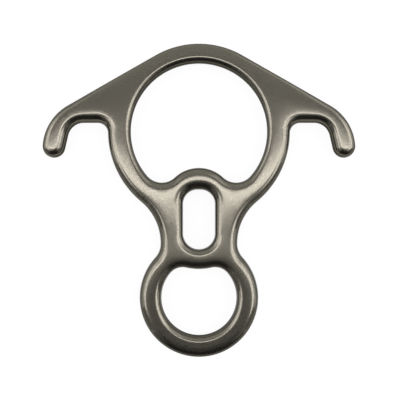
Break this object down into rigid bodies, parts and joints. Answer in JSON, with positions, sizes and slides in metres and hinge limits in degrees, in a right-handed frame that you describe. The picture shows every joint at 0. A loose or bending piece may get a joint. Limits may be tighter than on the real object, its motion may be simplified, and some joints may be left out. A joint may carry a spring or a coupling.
{
  "type": "rescue figure eight descender",
  "caption": "Flat forged friction descender: large rope eye with a raised saddle, clip slot, small clip eye, and bent ears that keep the rope from locking.",
  "frame": {"origin": "on the back face's plane, under the middle of the body's outline, as the part lies flat", "axes": "+X across the ears, +Y along the centre line from the clip eye to the rope eye, +Z out of the front face"},
  "size_m": [0.15, 0.15, 0.011],
  "materials": {
    "anodised_aluminium": "dark grey satin anodising over a forged and tumbled surface"
  },
  "bodies": {
    "root": {"descender_body": "anodised_aluminium"}
  },
  "joints": []
}
